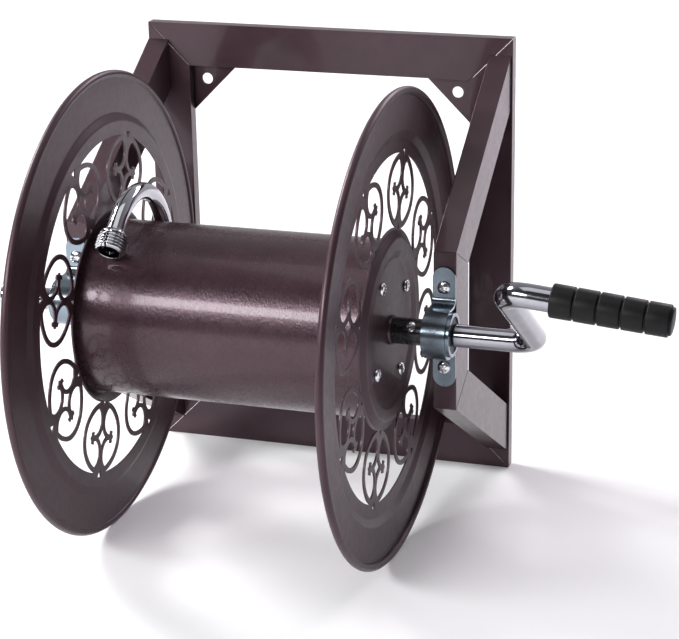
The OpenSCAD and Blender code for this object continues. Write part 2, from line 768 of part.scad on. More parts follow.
module inlet_o_rings() {
  color(black_colour) for (i = [0, 1]) on_axle(ring_place(i))
    rotate_extrude() translate([crank_r - ring_section + 0.1, 0]) circle(r = ring_section - 0.1);
}

// Open clip that keeps the swivel on the pipe
module inlet_clip() {
  color(steel_colour) on_axle(swivel_x + swivel_half + 1.1)
    rotate_extrude(start = 30, angle = 300) translate([crank_r - 0.95, 0]) square([3.2, 1.2]);
}

// Places a child at the lower end of the swivel's branch, with +Z pointing up into it
module at_swivel_mouth() translate([swivel_branch, axle_y, axle_z - swivel_drop]) children();

// Elbow that turns on the inlet pipe and takes the supply hose
module inlet_swivel() {
  color(chrome_colour) difference() {
    union() {
      on_axle(swivel_x - swivel_half) cylinder(r = swivel_r, h = 2 * swivel_half);
      at_swivel_mouth() cylinder(r = thread_r, h = thread_len);
      at_swivel_mouth() translate([0, 0, thread_len]) cylinder(r = 11.5, h = swivel_drop - thread_len);
    }
    on_axle(inlet_end - 0.5) cylinder(r = crank_r + running_gap + 0.02, h = 2 * swivel_half);
    on_axle(swivel_x - swivel_half + 3)
      cylinder(r = inlet_bore_r + 1, h = inlet_end - swivel_x + swivel_half - 3);
    at_swivel_mouth() translate([0, 0, -1]) cylinder(r = 6, h = swivel_drop + 1);
    at_swivel_mouth() translate([0, 0, -1]) cylinder(r = thread_bore_r, h = thread_len);
  }
}

frame_top_rail();
frame_bottom_rail();
frame_left_stile();
frame_right_stile();
corner_gussets();
left_upper_strut();
left_front_post();
left_lower_strut();
right_upper_strut();
right_front_post();
right_lower_strut();
left_bearing_strap();
right_bearing_strap();
left_strap_screws();
right_strap_screws();
left_bearing_sleeve();
right_bearing_sleeve();
left_bearing_bush();
right_bearing_bush();
left_disc();
right_disc();
drum_barrel();
left_end_plate();
right_end_plate();
left_hub_bolts();
right_hub_bolts();
left_hub_nuts();
right_hub_nuts();
axle_tube();
left_hub_collar();
right_hub_collar();
crank_tube();
axle_screw();
crank_grip();
handle_end_cap();
water_block();
outlet_pipe();
outlet_thread();
inlet_pipe();
inlet_o_rings();
inlet_swivel();
inlet_clip();
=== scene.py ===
"""Looks, light and camera for the wall-mounted hose reel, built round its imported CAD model."""

import math

import bmesh
import bpy
from mathutils import Matrix, Vector


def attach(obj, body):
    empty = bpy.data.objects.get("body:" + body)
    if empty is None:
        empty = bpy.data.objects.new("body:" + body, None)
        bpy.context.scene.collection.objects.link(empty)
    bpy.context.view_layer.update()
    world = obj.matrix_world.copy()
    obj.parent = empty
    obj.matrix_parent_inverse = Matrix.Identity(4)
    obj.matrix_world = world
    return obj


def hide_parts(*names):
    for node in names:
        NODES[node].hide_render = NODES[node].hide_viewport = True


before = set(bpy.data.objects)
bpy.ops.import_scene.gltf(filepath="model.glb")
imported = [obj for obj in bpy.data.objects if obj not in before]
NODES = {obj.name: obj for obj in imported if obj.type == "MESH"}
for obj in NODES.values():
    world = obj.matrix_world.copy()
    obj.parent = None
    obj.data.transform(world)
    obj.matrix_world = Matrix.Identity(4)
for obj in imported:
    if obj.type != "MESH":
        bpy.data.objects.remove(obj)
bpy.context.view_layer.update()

# ---------------------------------------------------------------- dimensions, in millimetres
MM = 0.001
WELD_M = 2e-6
AXLE = Vector((0, -231, -2))
FLOOR_Z = -218
SHEET = 1.5
REEL_TURN = math.radians(-19.5)

# Pressed discs: the places of their flat webs along the axle, then radii from the axle
RIGHT_WEB, LEFT_WEB = 127, -141
DISC_R = 216
BEAD_R, BEAD_RISE = 3.75, 5.0
PIERCED_IN, PIERCED_OUT = 91, 157
PLATE_IN, PLATE_OUT = 90, 165

# Scrolls: each is an oval of two flat arcs and two end arcs, with a star and two openings round a bud inside
SCROLLS, TURN_STEPS = 8, 192
SCROLL_R = (PIERCED_IN + PIERCED_OUT) / 2
STRAP_W = 4.6
END_R, END_Y = 28, 13
SCROLL_H = (PIERCED_OUT - PIERCED_IN) / 2 + 1
FLAT_R = (END_Y**2 + SCROLL_H**2 - END_R**2) / (2 * (SCROLL_H - END_R))
FLAT_X = FLAT_R - SCROLL_H
LOBE_X, LOBE_Y, LOBE_R, STAR_R = 15.4, 16.6, 13, 17.2
STEM_W, BUD_SHOULDER = 2.8, 19.3

# Drum, with a slot for the outlet pipe
DRUM_R, DRUM_WALL, DRUM_START, DRUM_END = 80.5, 1.2, -144, 130

# Bearings and fixings
SLEEVE_R, STRAP_T = 20, 2.5
STRAP_TIP, STRAP_HALF_W, STRAP_BEND = 56.25, 10.5, 8.0
RIGHT_POST_X, LEFT_POST_X = 172.8, -182.8
STRAP_SCREW_Z = 37.5
HUB_BOLT_R, HUB_BOLT_TURN = 53.5, math.radians(30)

# Crank and grip
CRANK_R, CRANK_WALL = 10.25, 1.5
CRANK_START, CRANK_BEND = 132.3, 22
CRANK_CORNER = Vector((263, -231, -2))
HANDLE_CORNER = Vector((263, -369.425, 89.622))
HANDLE_DIR = Vector((0.995413, -0.000562, -0.095671))
GRIP_START, GRIP_LEN, GRIP_R, GRIP_END_R = 41, 96, 14, 13.3
GRIP_RIBS, GROOVE_HALF_W, GROOVE_DEPTH = 5, 1.0, 1.7

# Water path
OUTLET_X, OUTLET_R, OUTLET_BORE, ARCH_R, ARCH_Z = -112, 8, 6.8, 64, 43
ARCH_SWEEP = math.radians(132)
DROP, FOOT_BEND = 30, 28
THREAD_R, THREAD_LEN, THREAD_PITCH, THREAD_DEPTH = 13.45, 15, 3.0, 1.5
FERRULE_R, THREAD_BORE, THREAD_BORE_DEPTH = 12.2, 9.6, 14
SWIVEL_X, SWIVEL_BRANCH, SWIVEL_R, SWIVEL_HALF, SWIVEL_DROP = -233.3, -235.3, 16, 16, 46
BRANCH_R, BRANCH_BORE = 11.5, 9


# ---------------------------------------------------------------- mesh helpers
def closed_mesh(name, verts, faces):
    """Mesh from points in millimetres, with equal points joined and all faces turned outwards."""
    mesh = bpy.data.meshes.new(name)
    mesh.from_pydata([Vector(v) * MM for v in verts], [], faces)
    bm = bmesh.new()
    bm.from_mesh(mesh)
    bmesh.ops.remove_doubles(bm, verts=bm.verts, dist=WELD_M)
    bmesh.ops.recalc_face_normals(bm, faces=bm.faces)
    bm.to_mesh(mesh)
    bm.free()
    return mesh


def new_object(name, verts, faces, material, body, slot, stands_for=(), bevel=0.0):
    """Makes a smooth-shaded piece from points in millimetres, puts it on its body and hides the CAD parts
    that it stands for.
    """
    obj = bpy.data.objects.new(name, closed_mesh(name, verts, faces))
    bpy.context.scene.collection.objects.link(obj)
    finish_mesh(obj, material, bevel)
    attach(obj, body)
    if stands_for:
        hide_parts(*stands_for)
    return obj


def finish_mesh(obj, material, bevel, sharp=35):
    """Smooth shading that keeps real edges, and a small rounded edge where asked."""
    obj.data.materials.clear()
    obj.data.materials.append(material)
    obj.data.polygons.foreach_set("use_smooth", [True] * len(obj.data.polygons))
    if bevel:
        mod = obj.modifiers.new("rounded_edges", "BEVEL")
        mod.width, mod.segments = bevel * MM, 3
        mod.limit_method, mod.angle_limit = "ANGLE", math.radians(sharp)
        mod.miter_outer = "MITER_ARC"
        flat = obj.modifiers.new("flat_faces", "WEIGHTED_NORMAL")
        flat.weight, flat.keep_sharp = 100, False
    else:
        obj.data.set_sharp_from_angle(angle=math.radians(sharp))


def fillet(points, radii, steps=6):
    """Rounds the inner corners of an open line of 2-D points, with one radius for each corner."""
    out = [Vector(points[0])]
    for i, radius in enumerate(radii, 1):
        a, b, c = (Vector(points[i + k]) for k in (-1, 0, 1))
        out += round_corner(a, b, c, radius, steps)
    return [tuple(p) for p in (*out, Vector(points[-1]))]


def round_corner(a, b, c, r, steps):
    """Points of an arc of radius r that replaces the corner at b, in 2-D or 3-D."""
    u, v = (a - b).normalized(), (c - b).normalized()
    angle = u.angle(v)
    if r <= 0 or angle > math.radians(179):
        return [b]
    reach = min(r / math.tan(angle / 2), 0.49 * (a - b).length, 0.49 * (c - b).length)
    r = reach * math.tan(angle / 2)
    centre = b + (u + v).normalized() * (r / math.sin(angle / 2))
    start, sweep = b + u * reach - centre, math.pi - angle
    side = (b + v * reach - centre) - start * math.cos(sweep)
    side = side.normalized() * r
    return [
        centre + start * math.cos(sweep * k / steps) + side * math.sin(sweep * k / steps)
        for k in range(steps + 1)
    ]


def on_face(side, turn):
    """Function from a disc's own (u, v, outward) to the frame; side is +1 on the right and -1 on the left."""
    web = RIGHT_WEB if side > 0 else LEFT_WEB
    c, s = math.cos(turn), math.sin(turn)

    def place(u, v, w):
        return Vector((web + side * w, AXLE.y + u * c - v * s, AXLE.z + u * s + v * c))

    return place


def along(origin, direction, up=(0, 0, 1)):
    """Function from (radius * cos, radius * sin, distance along) to the frame, round any axis."""
    w = Vector(direction).normalized()
    u = Vector(up).cross(w)
    u = (u if u.length > 1e-3 else Vector((1, 0, 0))).normalized()
    v = w.cross(u)
    origin = Vector(origin)

    def place(x, y, z):
        return origin + u * x + v * y + w * z

    return place


def revolve(profile, place, steps=64, closed=False, start=0.0):
    """Turns an open or closed line of (radius, height) points round an axis. Returns verts and faces."""
    verts, faces = [], []
    for k in range(steps):
        t = start + 2 * math.pi * k / steps
        verts += [place(r * math.cos(t), r * math.sin(t), h) for r, h in profile]
    n = len(profile)
    for k in range(steps):
        a, b = k * n, (k + 1) % steps * n
        for i in range(n if closed else n - 1):
            j = (i + 1) % n
            faces.append((a + i, a + j, b + j, b + i))
    return verts, [f for f in faces if len({tuple(round(c, 6) for c in verts[i]) for i in f}) > 2]


def between_rings(i, j, steps):
    """Faces that join ring i to ring j, where each ring is a run of points round an axis."""
    return [
        (i * steps + k, i * steps + (k + 1) % steps, j * steps + (k + 1) % steps, j * steps + k)
        for k in range(steps)
    ]


def merge(*parts):
    """Joins several (verts, faces) into one."""
    verts, faces = [], []
    for v, f in parts:
        base = len(verts)
        verts += v
        faces += [tuple(i + base for i in face) for face in f]
    return verts, faces


def bent_path(corners, radii, step=0.07):
    """Straight lines between 3-D corners, with an arc at each inner corner."""
    out = [corners[0]]
    for i in range(1, len(corners) - 1):
        a, b, c = corners[i - 1], corners[i], corners[i + 1]
        turn = math.pi - (a - b).angle(c - b)
        out += round_corner(a, b, c, radii[i - 1], max(4, round(turn / step)))
    return [*out, corners[-1]]


def tube(path, radius, bore, steps=48):
    """Round tube with a bore along a line of points, with a small lip at each end."""
    sections, u = [], None
    for i, p in enumerate(path):
        ahead = path[min(i + 1, len(path) - 1)] - path[max(i - 1, 0)]
        w = ahead.normalized()
        u = (u - w * u.dot(w)).normalized() if u else w.orthogonal().normalized()
        sections.append((p, u, w.cross(u)))
    lip = 0.35
    rows = [(0, radius - lip, 0), (0, radius, lip)]
    rows += [(i, radius, 0) for i in range(1, len(path) - 1)]
    rows += [(len(path) - 1, radius, -lip), (len(path) - 1, radius - lip, 0)]
    rows += [(i, bore, 0) for i in range(len(path) - 1, -1, -1)]
    verts = []
    for i, r, shift in rows:
        p, a, b = sections[i]
        w = a.cross(b)
        for k in range(steps):
            t = 2 * math.pi * k / steps
            verts.append(p + w * shift + (a * math.cos(t) + b * math.sin(t)) * r)
    faces = []
    for i in range(len(rows)):
        faces += between_rings(i, (i + 1) % len(rows), steps)
    return verts, faces


# ---------------------------------------------------------------- materials
class Paint:
    """One node material, whose colour, roughness and bump come from textures in the object's own space."""

    def __init__(self, name):
        self.mat = bpy.data.materials.new(name)
        self.mat.use_nodes = True
        self.tree = self.mat.node_tree
        self.bsdf = self.tree.nodes["Principled BSDF"]
        self.place = self.node("ShaderNodeTexCoord").outputs["Object"]

    def node(self, kind, **settings):
        made = self.tree.nodes.new(kind)
        for key, value in settings.items():
            setattr(made, key, value)
        return made

    def link(self, source, target):
        self.tree.links.new(source, target)

    def noise(self, scale, detail=3.0, rough=0.5, space=None, stretch=None):
        made = self.node("ShaderNodeTexNoise")
        made.inputs["Scale"].default_value = scale
        made.inputs["Detail"].default_value = detail
        made.inputs["Roughness"].default_value = rough
        space = space or self.place
        if stretch:
            mapping = self.node("ShaderNodeMapping")
            mapping.inputs["Scale"].default_value = stretch
            self.link(space, mapping.inputs["Vector"])
            space = mapping.outputs["Vector"]
        self.link(space, made.inputs["Vector"])
        return made.outputs["Fac"]

    def math(self, kind, a, b=0.0):
        made = self.node("ShaderNodeMath", operation=kind)
        for socket, value in zip(made.inputs, (a, b)):
            if isinstance(value, (int, float)):
                socket.default_value = value
            else:
                self.link(value, socket)
        return made.outputs[0]

    def ramp(self, source, stops):
        made = self.node("ShaderNodeValToRGB")
        band = made.color_ramp
        while len(band.elements) < len(stops):
            band.elements.new(0.5)
        for element, (at, colour) in zip(band.elements, stops):
            element.position = at
            element.color = (*colour, 1)
        self.link(source, made.inputs[0])
        return made.outputs[0]

    def spread(self, source, low, high):
        """Stretches the middle of a noise, where most of it lies, to a range of values."""
        made = self.node("ShaderNodeMapRange")
        for key, value in (("From Min", 0.3), ("From Max", 0.7), ("To Min", low), ("To Max", high)):
            made.inputs[key].default_value = value
        self.link(source, made.inputs["Value"])
        return made.outputs[0]

    def colour(self, source, stops):
        self.link(self.ramp(source, stops), self.bsdf.inputs["Base Color"])

    def rough(self, source, low, high):
        self.link(self.spread(source, low, high), self.bsdf.inputs["Roughness"])

    def bump(self, source, strength, distance, after=None):
        made = self.node("ShaderNodeBump")
        made.inputs["Strength"].default_value = strength
        made.inputs["Distance"].default_value = distance
        self.link(source, made.inputs["Height"])
        if after:
            self.link(after, made.inputs["Normal"])
        self.link(made.outputs[0], self.bsdf.inputs["Normal"])
        return made.outputs[0]

    def polar(self):
        """Space round the axle: along it, round it and away from it."""
        split = self.node("ShaderNodeSeparateXYZ")
        self.link(self.place, split.inputs[0])
        y = self.math("SUBTRACT", split.outputs[1], AXLE.y * MM)
        z = self.math("SUBTRACT", split.outputs[2], AXLE.z * MM)
        angle = self.math("ARCTAN2", z, y)
        squares = self.math("ADD", self.math("MULTIPLY", y, y), self.math("MULTIPLY", z, z))
        radius = self.math("SQRT", squares)
        join = self.node("ShaderNodeCombineXYZ")
        for source, target in zip((split.outputs[0], angle, radius), join.inputs):
            self.link(source, target)
        return join.outputs[0]

    def set(self, **values):
        """Sets constants on the shader's own sockets, by short names."""
        names = {
            "metal": "Metallic",
            "coat": "Coat Weight",
            "coat_rough": "Coat Roughness",
            "ior": "IOR",
            "specular": "Specular IOR Level",
            "glow": "Emission Strength",
        }
        for key, value in values.items():
            self.bsdf.inputs[names[key]].default_value = value
        return self


def bronze(name, rough=(0.28, 0.37), coat=0.30, streaks=False):
    """Dark bronze powder coat: fine orange peel, faint mottling and, if asked, hair marks round the axle."""
    p = Paint(name)
    dark, middle, light = (0.024, 0.0120, 0.0142), (0.031, 0.0155, 0.0185), (0.039, 0.0205, 0.0240)
    p.colour(p.noise(26, 4, 0.6), [(0.30, dark), (0.50, middle), (0.72, light)])
    p.rough(p.noise(140, 5, 0.65), *rough)
    p.bsdf.inputs["Specular Tint"].default_value = (1.0, 0.74, 0.87, 1)
    p.bsdf.inputs["Coat Tint"].default_value = (1.0, 0.95, 0.975, 1)
    peel = p.bump(p.noise(620, 2, 0.5), 0.10, 0.0004)
    if streaks:
        hair = p.noise(1.0, 2, 0.6, p.polar(), (800, 30, 20))
        p.bump(hair, 0.42, 0.0006, peel)
    return p.set(coat=coat, coat_rough=0.10, ior=1.48).mat


def metal(name, tones, rough, grain, cloud=30):
    """Bare or plated metal: cloudy tone, uneven polish and a fine grain, given as its scale and strength."""
    p = Paint(name)
    p.colour(p.noise(cloud, 5, 0.6), [(0.3, tones[0]), (0.7, tones[1])])
    p.rough(p.noise(grain[0] / 4, 4, 0.7), *rough)
    p.bump(p.noise(grain[0], 3, 0.6), grain[1], 0.0002)
    return p.set(metal=1.0, coat=0.0).mat


def plastic(name, tones, rough, grain, coat=0.0, specular=0.5):
    """Moulded plastic or rubber: fine texture and a slightly uneven sheen."""
    p = Paint(name)
    p.colour(p.noise(90, 4, 0.6), [(0.3, tones[0]), (0.7, tones[1])])
    p.rough(p.noise(260, 4, 0.6), *rough)
    p.bump(p.noise(grain[0], 3, 0.6), grain[1], 0.0003)
    return p.set(coat=coat, specular=specular).mat


PAINT = bronze("bronze_paint")
DISC_PAINT = bronze("bronze_paint_discs", (0.38, 0.47), 0.10)
DRUM_PAINT = bronze("bronze_paint_drum", (0.24, 0.32), 0.25, streaks=True)
CHROME = metal("chrome_plate", ((0.42, 0.42, 0.455), (0.49, 0.49, 0.525)), (0.05, 0.10), (500, 0.015))
ZINC = metal("zinc_plate", ((0.200, 0.242, 0.284), (0.235, 0.281, 0.325)), (0.19, 0.24), (900, 0.012), 45)
# Darker, rougher copy of the chrome for the crank: its rougher polish and stronger grain are wear, and its
# darker tone is painted shade.
CRANK_CHROME = metal(
    "chrome_plate_worn_and_shaded", ((0.31, 0.31, 0.345), (0.38, 0.38, 0.415)), (0.09, 0.14), (400, 0.02), 60
)
SCREWS = metal("screw_chrome", ((0.66, 0.66, 0.68), (0.86, 0.86, 0.88)), (0.10, 0.22), (800, 0.04), 200)
STEEL = metal("plain_steel", ((0.42, 0.41, 0.40), (0.60, 0.59, 0.57)), (0.28, 0.45), (600, 0.08))
BRASS = metal("brass_cast", ((0.48, 0.32, 0.12), (0.68, 0.48, 0.20)), (0.25, 0.45), (500, 0.12))
NYLON = plastic("black_nylon", ((0.010, 0.010, 0.011), (0.018, 0.018, 0.019)), (0.38, 0.52), (700, 0.08))
BLACK = plastic(
    "black_tube", ((0.008, 0.008, 0.009), (0.015, 0.014, 0.015)), (0.20, 0.34), (500, 0.06), coat=0.4
)
GRIP = plastic(
    "grip_plastic", ((0.0045, 0.0045, 0.005), (0.008, 0.008, 0.009)), (0.38, 0.50), (900, 0.10), specular=0.18
)
RUBBER = plastic("ring_rubber", ((0.010, 0.010, 0.010), (0.020, 0.020, 0.020)), (0.55, 0.75), (600, 0.10))


# ---------------------------------------------------------------- CAD nodes that stay
def dress(node, material, bevel=0.0):
    """Gives a CAD node its finish and softly rounded edges, without touching its mesh."""
    obj = NODES[node]
    weld = obj.modifiers.new("joined_points", "WELD")
    weld.merge_threshold = 1e-6
    finish_mesh(obj, material, bevel, sharp=30)


for side in ("left", "right"):
    for part in ("upper_strut", "lower_strut", "front_post"):
        dress(f"{side}_{part}", PAINT, 0.9)
    dress(f"{side}_bearing_sleeve", ZINC, 0.5)
    dress(f"{side}_bearing_bush", NYLON, 0.3)
    dress(f"{side}_end_plate", STEEL, 0.4)
    dress(f"{side}_hub_nuts", STEEL, 0.4)
    dress(f"{side}_hub_collar", PAINT, 0.6)
for rail in ("top_rail", "bottom_rail", "left_stile", "right_stile"):
    dress(f"frame_{rail}", PAINT, 0.9)
dress("corner_gussets", PAINT, 0.4)
dress("axle_tube", BLACK, 0.4)
dress("water_block", BRASS, 0.8)
dress("inlet_pipe", CHROME, 0.3)
dress("inlet_o_rings", RUBBER)
dress("inlet_clip", STEEL, 0.2)


# ---------------------------------------------------------------- pierced discs
def polar_arc(r, t0, t1, steps):
    """Points of an arc about the origin, from angle t0 to t1 in radians."""
    turns = [t0 + (t1 - t0) * k / steps for k in range(steps + 1)]
    return [(r * math.cos(t), r * math.sin(t)) for t in turns]


def arc(cx, cy, r, t0, t1, step=2.2):
    """Points of an arc from angle t0 to t1, in radians, about a step apart."""
    n = max(2, math.ceil(abs(t1 - t0) * r / step))
    return [(cx + x, cy + y) for x, y in polar_arc(r, t0, t1, n)]


def crossing(c0, r0, c1, r1, upper):
    """One of the two points where two circles cross; upper picks the one on the left of c0 to c1."""
    d = math.dist(c0, c1)
    a = (r0 * r0 - r1 * r1 + d * d) / (2 * d)
    h = math.sqrt(r0 * r0 - a * a) * (1 if upper else -1)
    ux, uy = (c1[0] - c0[0]) / d, (c1[1] - c0[1]) / d
    return (c0[0] + a * ux - h * uy, c0[1] + a * uy + h * ux)


def angle_at(centre, point):
    """Direction from a centre to a point, in radians."""
    return math.atan2(point[1] - centre[1], point[0] - centre[0])


def oval_side(inset, start, stop):
    """Upper half of the scroll's oval between a point on its outer flat arc and one on its inner flat arc."""
    flat, end = FLAT_R - inset, END_R - inset
    join_y = END_Y * flat / (FLAT_R - END_R)
    join_x = math.sqrt(end * end - (join_y - END_Y) ** 2)
    outer, inner = (-FLAT_X, 0), (FLAT_X, 0)
    pts = arc(*outer, flat, angle_at(outer, start), angle_at(outer, (join_x, join_y)))
    turn = angle_at((0, END_Y), (join_x, join_y))
    pts += arc(0, END_Y, end, turn, math.pi - turn)[1:]
    pts += arc(*inner, flat, angle_at(inner, (-join_x, join_y)), angle_at(inner, stop))[1:]
    return pts


def kidney():
    """One of the two openings inside a scroll, round a small bud with three points."""
    lobe = (LOBE_X, LOBE_Y)
    circles = (lobe, LOBE_R, (-FLAT_X, 0), FLAT_R - STRAP_W)
    meet = crossing(*circles, True)
    if meet[1] > LOBE_Y:
        meet = crossing(*circles, False)
    dip = LOBE_Y - math.sqrt(LOBE_R**2 - (LOBE_X - STEM_W) ** 2)
    ends = (angle_at(lobe, (STEM_W, dip)), angle_at(lobe, meet))
    first, last = (t - 2 * math.pi if t > 0 else t for t in ends)
    lobe_side = arc(*lobe, LOBE_R, first, last)
    corners = [(STEM_W, dip), (STEM_W, BUD_SHOULDER), (6.3, 17.9), (5.3, 23.4), (2.7, 22.3), (0, 25.0)]
    bud = fillet(corners, [0.7, 1.2, 1.4, 0.8], 4)
    tip = [(0.9, 24.5), (0.35, 24.85)]
    half = [*lobe_side[:0:-1], *bud[:-1], *tip]
    oval = oval_side(STRAP_W, meet, (-meet[0], meet[1]))
    return [*oval, *((-x, y) for x, y in half[1:]), *half[:0:-1]]


def star():
    """Four-pointed opening in the middle of a scroll."""
    centre = (LOBE_X, LOBE_Y)
    tip_x = LOBE_X - math.sqrt(STAR_R**2 - LOBE_Y**2)
    tip_y = LOBE_Y - math.sqrt(STAR_R**2 - LOBE_X**2)
    first, last = (angle_at(centre, tip) % (2 * math.pi) for tip in ((tip_x, 0), (0, tip_y)))
    quarter = arc(*centre, STAR_R, first, last, 1.4)
    top = quarter + [(-x, y) for x, y in reversed(quarter[:-1])]
    return top + [(x, -y) for x, y in reversed(top[1:-1])]


def shift(points):
    """Moves a scroll's points from its own middle out to its place on the disc."""
    return [(x + SCROLL_R, y) for x, y in points]


def sector_loops():
    """Outline and openings of one eighth of the pierced ring, in the disc's plane, with the outline first."""
    half = math.pi / SCROLLS
    per = TURN_STEPS // SCROLLS
    top = crossing((0, 0), PIERCED_OUT, (SCROLL_R - FLAT_X, 0), FLAT_R, True)
    foot = crossing((0, 0), PIERCED_IN, (SCROLL_R + FLAT_X, 0), FLAT_R, True)
    top_t, foot_t = math.atan2(top[1], top[0]), math.atan2(foot[1], foot[0])
    upper = shift(oval_side(0, (top[0] - SCROLL_R, top[1]), (foot[0] - SCROLL_R, foot[1])))
    side = polar_arc(PIERCED_OUT, half, top_t, 14)[:-1] + upper + polar_arc(PIERCED_IN, foot_t, half, 16)[1:]
    mirrored = [(x, -y) for x, y in reversed(side)]
    outer, inner = polar_arc(PLATE_OUT, -half, half, per), polar_arc(PLATE_IN, half, -half, per)
    outline = outer + side + inner + mirrored
    pole = shift([(37, -4), (37, 4), (30.3, 0.35), (30.3, -0.35)])
    spur = shift([(-33.7, -2.6), (-33.7, 2.6), (-29, 0.3), (-29, -0.3)])
    upper_kidney = shift(kidney())
    lower_kidney = [(x, -y) for x, y in upper_kidney]
    return [outline, upper_kidney, lower_kidney, shift(star()), pole, spur]


def fill(loops):
    """Triangles between an outline and its openings."""
    bm = bmesh.new()
    for loop in loops:
        vs = [bm.verts.new((x, y, 0)) for x, y in loop]
        for a, b in zip(vs, vs[1:] + vs[:1]):
            bm.edges.new((a, b))
    bm.verts.index_update()
    bmesh.ops.triangle_fill(bm, use_beauty=True, use_dissolve=False, edges=bm.edges[:])
    bm.verts.ensure_lookup_table()
    points = [tuple(v.co.xy) for v in bm.verts]
    tris = [tuple(v.index for v in f.verts) for f in bm.faces]
    bm.free()
    return points, tris


def joins_neighbour(a, b, near=0.01):
    """True for an outline edge that meets the next sector, the hub or the band, and so gets no wall."""
    low, high = sorted((math.hypot(*a), math.hypot(*b)))
    beyond = low > PIERCED_OUT - near and high > PIERCED_OUT + near
    within = high < PIERCED_IN + near and low < PIERCED_IN - near
    return beyond or within


def sector(place, turn, loops, points, tris):
    """One eighth of the pierced ring: both faces, and the walls round its openings."""
    n, c, s = len(points), math.cos(turn), math.sin(turn)
    turned = [(x * c - y * s, x * s + y * c) for x, y in points]
    verts = [place(x, y, 0) for x, y in turned] + [place(x, y, -SHEET) for x, y in turned]
    faces = tris + [tuple(i + n for i in reversed(t)) for t in tris]
    base = 0
    for number, loop in enumerate(loops):
        for i, here in enumerate(loop):
            j = (i + 1) % len(loop)
            if number > 0 or not joins_neighbour(here, loop[j]):
                faces.append((base + i, base + j, base + j + n, base + i + n))
        base += len(loop)
    return verts, faces


def disc(side):
    """Pressed disc: hub, ridge, pierced ring, stepped band and rolled rim, as one closed sheet."""
    place = on_face(side, REEL_TURN)
    loops = sector_loops()
    points, tris = fill(loops)
    parts = [sector(place, 2 * math.pi * k / SCROLLS, loops, points, tris) for k in range(SCROLLS)]
    start = -math.pi / SCROLLS
    # Profiles as (radius, height over the web)
    hub_corners = [(12.2, 1.5), (64, 1.5), (71, 4.5), (82, 4.5), (89, 0), (PLATE_IN, 0)]
    hub_face = fillet(hub_corners, [5, 4, 4, 2.5], 5)
    hub_back = [(r, h - SHEET) for r, h in hub_face]
    parts.append(revolve([*hub_face[::-1], *hub_back], place, TURN_STEPS, start=start))
    band = fillet([(PLATE_OUT, 0), (170, 0), (177, 3.5), (208.54, 4.47)], [5, 5], 5)[:-1]
    bead = arc(DISC_R - BEAD_R, BEAD_RISE, BEAD_R, math.radians(188), math.radians(-147), 1.1)
    band_back = [(r, h - SHEET) for r, h in band]
    parts.append(revolve([*band, *bead, *band_back[::-1]], place, TURN_STEPS, start=start))
    name = "right_disc" if side > 0 else "left_disc"
    verts, faces = merge(*parts)
    new_object(name + "_pressed", verts, faces, DISC_PAINT, "reel", "bronze_paint", (name,), 0.22)


disc(1)
disc(-1)


# ---------------------------------------------------------------- drum
def cut(obj, tool):
    """Takes the tool's space out of a piece for good, then removes the tool."""
    mod = obj.modifiers.new("cut", "BOOLEAN")
    mod.object, mod.operation, mod.solver = tool, "DIFFERENCE", "EXACT"
    bpy.context.view_layer.update()
    solid = bpy.data.meshes.new_from_object(obj.evaluated_get(bpy.context.evaluated_depsgraph_get()))
    obj.modifiers.remove(mod)
    obj.data = solid
    bpy.data.objects.remove(tool)


drum_len, rows = DRUM_END - DRUM_START, 34
outside = [(DRUM_R, drum_len * k / rows) for k in range(rows + 1)]
inside = [(DRUM_R - DRUM_WALL, drum_len * k / rows) for k in range(rows, -1, -1)]
barrel = revolve([*outside, *inside], along((DRUM_START, AXLE.y, AXLE.z), (1, 0, 0)), TURN_STEPS, closed=True)
drum = new_object("drum_rolled_barrel", *barrel, DRUM_PAINT, "reel", "bronze_paint", ("drum_barrel",))
slot_r, slot_low, slot_high = OUTLET_R + 1.5, 15, 65
slot_line = [(0, slot_low), (slot_r, slot_low), (slot_r, slot_high), (0, slot_high)]
slot = revolve(slot_line, along((OUTLET_X, AXLE.y + ARCH_R, 0), (0, 0, 1)), 40)
cut(drum, bpy.data.objects.new("slot_tool", closed_mesh("slot_tool", *slot)))
drum.data.set_sharp_from_angle(angle=math.radians(35))


# ---------------------------------------------------------------- screws
def ramp_up(depth, width):
    """0 outside an edge, 1 inside it, and a slope of this width in between."""
    return min(1, max(0, depth / width + 0.5))


def cross_head(place, radius, height, recess):
    """Pan head with a cross recess, as rings of points whose height is worked out one by one."""
    rings, steps = 26, 72
    slot_w, slot_l = radius * 0.15, radius * recess
    verts = []
    for i in range(rings + 1):
        r = radius * i / rings
        crown = 1 - 0.42 * (r / radius) ** 2
        shoulder = 0.35 * max(0, (r / radius - 0.86) / 0.14) ** 2
        for k in range(steps):
            t = 2 * math.pi * k / steps
            x, y = r * math.cos(t), r * math.sin(t)
            inside = max(
                ramp_up(slot_w - abs(b), 0.35) * ramp_up(slot_l - abs(a), 0.5) for a, b in ((x, y), (y, x))
            )
            verts.append(place(x, y, height * (crown - shoulder - 0.55 * inside)))
    rim = [(radius, height * 0.23), (radius * 0.995, height * 0.08), (radius * 0.96, 0)]
    for r, h in rim:
        verts += [place(x, y, h) for x, y in polar_arc(r, 0, 2 * math.pi, steps)[:-1]]
    last = rings + len(rim)
    faces = [face for i in range(last) for face in between_rings(i, i + 1, steps)]
    faces.append(tuple(last * steps + k for k in reversed(range(steps))))
    return verts, faces


def screw(origin, direction, turn, radius, height, shank_r, shank_len, recess=0.55):
    """Pan-head screw: its seat, the way its head points, the turn of its cross, and its sizes."""
    base = along(origin, direction)
    c, s = math.cos(turn), math.sin(turn)

    def place(x, y, z):
        return base(x * c - y * s, x * s + y * c, z)

    foot = -shank_len
    shank = [(0, foot), (shank_r - 0.5, foot), (shank_r, foot + 0.5), (shank_r, 0.2), (0, 0.2)]
    return merge(cross_head(place, radius, height, recess), revolve(shank, place, 32))


